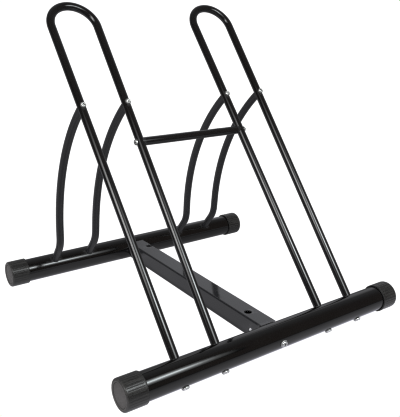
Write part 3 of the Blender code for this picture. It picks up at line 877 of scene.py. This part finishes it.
# ------------------------------------------------------------------ studio
def emitter(name, strength, colour=(1.0, 1.0, 1.0)):
    mat = bpy.data.materials.new(name)
    mat.use_nodes = True
    tree = mat.node_tree
    tree.nodes.clear()
    out = tree.nodes.new("ShaderNodeOutputMaterial")
    light = tree.nodes.new("ShaderNodeEmission")
    light.inputs["Color"].default_value = (*colour, 1.0)
    light.inputs["Strength"].default_value = strength
    tree.links.new(light.outputs[0], out.inputs["Surface"])
    return mat, tree, light


def sheet(name, half_x, half_y, z, mat, centre=(0.0, 0.0)):
    bm = bmesh.new()
    n = 8
    grid = [[bm.verts.new((centre[0] + half_x * (2 * i / n - 1), centre[1] + half_y * (2 * j / n - 1), z))
             for i in range(n + 1)] for j in range(n + 1)]
    for j in range(n):
        for i in range(n):
            bm.faces.new((grid[j][i], grid[j][i + 1], grid[j + 1][i + 1], grid[j + 1][i]))
    obj = to_object(name, bm)
    obj.data.materials.append(mat)
    return obj


# Pale floor, seen by the camera.
floor_mat = emitter("studio_floor", 1.03)[0]
floor = sheet("studio_floor", 9.0, 9.0, 0.0, floor_mat)
floor.visible_glossy = False
floor.visible_diffuse = False
floor.visible_shadow = False

# The same floor as the paint mirrors it, a glowing sheet with painted light and painted shadow: a painted pool of light
# just before the front tube, darker towards the camera, painted shadows under the tubes, dimmer far to the left and to
# the right between them.
mirror_mat, mirror_tree, mirror_light = emitter("studio_floor_painted_light", 1.0, (0.975, 0.970, 1.040))
at = mirror_tree.nodes.new("ShaderNodeTexCoord").outputs["Object"]
part = mirror_tree.nodes.new("ShaderNodeSeparateXYZ")
mirror_tree.links.new(at, part.inputs[0])


def ranged(tree, value, low, high, to_low, to_high, kind="SMOOTHSTEP"):
    node = tree.nodes.new("ShaderNodeMapRange")
    node.interpolation_type = kind
    for key, number in (("From Min", low), ("From Max", high), ("To Min", to_low), ("To Max", to_high)):
        node.inputs[key].default_value = number
    tree.links.new(value, node.inputs["Value"])
    return node.outputs["Result"]


def combined(tree, operation, a, b):
    node = tree.nodes.new("ShaderNodeMath")
    node.operation = operation
    for k, value in enumerate((a, b)):
        if isinstance(value, bpy.types.NodeSocket):
            tree.links.new(value, node.inputs[k])
        else:
            node.inputs[k].default_value = value
    return node.outputs[0]


# Brightness along the floor, front to back: a painted pool of light before the front tube and painted shadows under
# both tubes.
FLOOR_LIGHT_AND_SHADOW = ((-0.80, 0.05), (-0.669, 0.06), (-0.534, 0.25), (-0.378, 0.60), (-0.336, 0.85), (-0.318, 0.88),
             (-0.306, 0.96), (-0.286, 0.94), (-0.278, 0.66), (-0.271, 0.40), (-0.262, 0.42), (-0.245, 0.75),
             (-0.210, 0.70), (-0.150, 0.50), (0.20, 0.50), (0.235, 0.52), (0.252, 0.60), (0.262, 0.48),
             (0.269, 0.40), (0.300, 0.48), (0.45, 0.50), (0.80, 0.50))
ramp = mirror_tree.nodes.new("ShaderNodeValToRGB")
ramp.color_ramp.interpolation = "LINEAR"
span = ranged(mirror_tree, part.outputs["Y"], -0.80, 0.80, 0.0, 1.0, "LINEAR")
mirror_tree.links.new(span, ramp.inputs["Fac"])
stops = ramp.color_ramp.elements
while len(stops) > 1:
    stops.remove(stops[-1])
for k, (y, value) in enumerate(FLOOR_LIGHT_AND_SHADOW):
    stop = stops[0] if k == 0 else stops.new((y + 0.80) / 1.60)
    stop.position = (y + 0.80) / 1.60
    stop.color = (value, value, value, 1.0)
side = ranged(mirror_tree, part.outputs["X"], -0.25, 0.20, 0.30, -0.42)
inside = ranged(mirror_tree, part.outputs["Y"], -0.23, -0.17, 0.0, 1.0)
side = combined(mirror_tree, "ADD", combined(mirror_tree, "MULTIPLY", side, inside), 1.0)
side = combined(mirror_tree, "MULTIPLY", side, 2.0)
middle = combined(mirror_tree, "MULTIPLY", inside, ranged(mirror_tree, part.outputs["Y"], 0.13, 0.20, 1.0, 0.0))
for low, high, left, right, where in ((-0.85, -0.45, 0.20, 1.0, None), (-0.30, -0.03, 0.24, 1.10, middle),
                                      (0.0, 0.14, 1.0, 0.50, middle)):
    fade = ranged(mirror_tree, part.outputs["X"], low, high, left, right)
    if where is not None:
        fade = combined(mirror_tree, "ADD", combined(mirror_tree, "MULTIPLY", combined(mirror_tree, "SUBTRACT", fade, 1.0), where), 1.0)
    side = combined(mirror_tree, "MULTIPLY", side, fade)
# Painted shadow on the floor along both sides of the centre bar.
bar_shadow = ranged(mirror_tree, combined(mirror_tree, "ABSOLUTE", part.outputs["X"], 0.0), 0.036, 0.047, -0.38, 0.0)
bar_shadow = combined(mirror_tree, "ADD", combined(mirror_tree, "MULTIPLY", bar_shadow, inside), 1.0)
side = combined(mirror_tree, "MULTIPLY", side, bar_shadow)
mirror_tree.links.new(combined(mirror_tree, "MULTIPLY", ramp.outputs["Color"], side), mirror_light.inputs["Strength"])
mirror = sheet("studio_floor_painted_light", 2.5, 2.5, -0.0005, mirror_mat)
mirror.visible_camera = False
mirror.visible_shadow = False

# White all round for the camera; for the paint a dim room with a pale wall behind the rack.
world = bpy.data.worlds.new("studio_world")
SCENE.world = world
world.use_nodes = True
wt = world.node_tree
wt.nodes.clear()
w_out = wt.nodes.new("ShaderNodeOutputWorld")
w_mix = wt.nodes.new("ShaderNodeMixShader")
w_white = wt.nodes.new("ShaderNodeBackground")
w_room = wt.nodes.new("ShaderNodeBackground")
w_soft = wt.nodes.new("ShaderNodeBackground")
w_tint = wt.nodes.new("ShaderNodeMix")
w_tint.data_type = "RGBA"
w_split = wt.nodes.new("ShaderNodeMixShader")
w_path = wt.nodes.new("ShaderNodeLightPath")
w_white.inputs["Color"].default_value = (1.0, 1.0, 1.0, 1.0)
w_white.inputs["Strength"].default_value = 1.03
way = wt.nodes.new("ShaderNodeTexCoord").outputs["Generated"]
w_part = wt.nodes.new("ShaderNodeSeparateXYZ")
wt.links.new(way, w_part.inputs[0])
behind = wt.nodes.new("ShaderNodeVectorMath")
behind.operation = "DOT_PRODUCT"
behind.inputs[1].default_value = (0.35, 0.90, 0.10)
wt.links.new(way, behind.inputs[0])
w_fall = wt.nodes.new("ShaderNodeMapRange")
w_fall.interpolation_type = "SMOOTHSTEP"
w_fall.inputs["From Min"].default_value = -0.05
w_fall.inputs["From Max"].default_value = 0.85
w_fall.inputs["To Min"].default_value = 0.207
w_fall.inputs["To Max"].default_value = 0.618
wt.links.new(behind.outputs["Value"], w_fall.inputs["Value"])
w_window = wt.nodes.new("ShaderNodeVectorMath")
w_window.operation = "DOT_PRODUCT"
w_window.inputs[1].default_value = (0.640, 0.640, 0.420)
wt.links.new(way, w_window.inputs[0])
w_patch = ranged(wt, w_window.outputs["Value"], 0.935, 0.995, 0.0, 1.45)
w_low = wt.nodes.new("ShaderNodeVectorMath")
w_low.operation = "DOT_PRODUCT"
w_low.inputs[1].default_value = (0.597, 0.793, 0.120)
wt.links.new(way, w_low.inputs[0])
w_patch = combined(wt, "ADD", w_patch, ranged(wt, w_low.outputs["Value"], 0.985, 0.997, 0.0, 1.0))
w_corner = wt.nodes.new("ShaderNodeVectorMath")
w_corner.operation = "DOT_PRODUCT"
w_corner.inputs[1].default_value = (-0.966, 0.259, -0.020)
wt.links.new(way, w_corner.inputs[0])
w_dim = ranged(wt, w_corner.outputs["Value"], 0.60, 0.92, 1.0, 0.38)
w_back_left = wt.nodes.new("ShaderNodeVectorMath")
w_back_left.operation = "DOT_PRODUCT"
w_back_left.inputs[1].default_value = (-0.420, 0.737, 0.530)
wt.links.new(way, w_back_left.inputs[0])
w_dim = combined(wt, "MULTIPLY", w_dim, ranged(wt, w_back_left.outputs["Value"], 0.84, 0.97, 1.0, 0.40))
w_dimmed = combined(wt, "MULTIPLY", w_fall.outputs["Result"], w_dim)
wt.links.new(combined(wt, "ADD", w_dimmed, w_patch), w_room.inputs["Strength"])
w_tint.inputs[6].default_value = (0.98, 0.775, 0.69, 1.0)        # the room is warm before the rack and cool behind it
w_tint.inputs[7].default_value = (0.785, 0.790, 0.825, 1.0)
wt.links.new(ranged(wt, behind.outputs["Value"], -0.20, 0.50, 0.0, 1.0), w_tint.inputs["Factor"])
wt.links.new(w_tint.outputs[2], w_room.inputs["Color"])
w_soft.inputs["Color"].default_value = (1.0, 1.0, 1.0, 1.0)
w_soft.inputs["Strength"].default_value = 1.20
wt.links.new(w_path.outputs["Is Camera Ray"], w_split.inputs["Fac"])
wt.links.new(w_soft.outputs[0], w_split.inputs[1])
wt.links.new(w_white.outputs[0], w_split.inputs[2])
wt.links.new(w_path.outputs["Is Glossy Ray"], w_mix.inputs["Fac"])
wt.links.new(w_split.outputs[0], w_mix.inputs[1])
wt.links.new(w_room.outputs[0], w_mix.inputs[2])
wt.links.new(w_mix.outputs[0], w_out.inputs["Surface"])


def softbox(name, place, target, width, height, feather_x, feather_y, roll, radiance, colour=(1.0, 1.0, 1.0)):
    """Diffusion panel facing the target: a glowing sheet, brightest in its middle, fading over its feathered rim."""
    place, target = Vector(place), Vector(target)
    back = (place - target).normalized()
    across = Vector((0.0, 0.0, 1.0)).cross(back).normalized()
    up = back.cross(across)
    across, up = across * math.cos(roll) + up * math.sin(roll), up * math.cos(roll) - across * math.sin(roll)
    mat, tree, light = emitter(name, 1.0, colour)
    where = tree.nodes.new("ShaderNodeTexCoord").outputs["Object"]
    parts = tree.nodes.new("ShaderNodeSeparateXYZ")
    tree.links.new(where, parts.inputs[0])
    glow = None
    for axis, size, feather in (("X", width, feather_x), ("Y", height, feather_y)):
        off = combined(tree, "ABSOLUTE", parts.outputs[axis], 0.0)
        edge = ranged(tree, off, size / 2 - feather, size / 2 + feather, 1.0, 0.0)
        glow = edge if glow is None else combined(tree, "MULTIPLY", glow, edge)
    tree.links.new(combined(tree, "MULTIPLY", glow, radiance), light.inputs["Strength"])
    panel = sheet(name, width / 2 + feather_x, height / 2 + feather_y, 0.0, mat)
    panel.matrix_world = Matrix.Translation(place) @ Matrix((across, up, back)).transposed().to_4x4()
    panel.visible_camera = False
    panel.visible_shadow = False
    return panel


softbox("softbox_key", (0.098, -1.106, 1.139), (-0.05, -0.049, 0.108), 1.014, 0.366, 0.1455, 0.3995, 0.020, 27.5, (0.955, 0.990, 1.0))
softbox("softbox_left", (-2.162, -0.948, 1.910), (0.0, -0.069, 0.278), 0.850, 2.283, 0.338, 0.145, -0.800, 15.5)

# ------------------------------------------------------------------ camera
eye = bpy.data.cameras.new("photo_camera")
eye.lens = 55.118322517
eye.sensor_width = 36.0
eye.sensor_fit = "HORIZONTAL"
eye.clip_start = 0.05
eye.clip_end = 60.0
camera = bpy.data.objects.new("photo_camera", eye)
SCENE.collection.objects.link(camera)
camera.location = (-0.7216181336, -1.0087902547, 0.6244195369)
camera.rotation_euler = (1.2460471, -0.02267777, -0.62233787)
SCENE.camera = camera

SCENE.view_settings.view_transform = "Standard"
SCENE.view_settings.look = "None"
SCENE.cycles.filter_width = 1.2

# Print contrast of a product photograph: whites kept, mid greys pulled down, blacks left almost as they are.
SCENE.view_settings.use_curve_mapping = True
contrast = SCENE.view_settings.curve_mapping
contrast.black_level = (0.0, 0.0, 0.0)
contrast.white_level = (1.0, 1.0, 1.0)
tone = contrast.curves[3]
tone.points[0].location = (0.0, 0.0)
tone.points[-1].location = (1.0, 1.0)
for x, y in ((0.01, 0.008), (0.02, 0.014), (0.05, 0.027), (0.10, 0.042), (0.20, 0.072), (0.30, 0.110), (0.40, 0.160),
             (0.50, 0.225), (0.60, 0.310), (0.70, 0.420), (0.80, 0.560), (0.90, 0.750)):
    tone.points.new(x, y)
contrast.update()
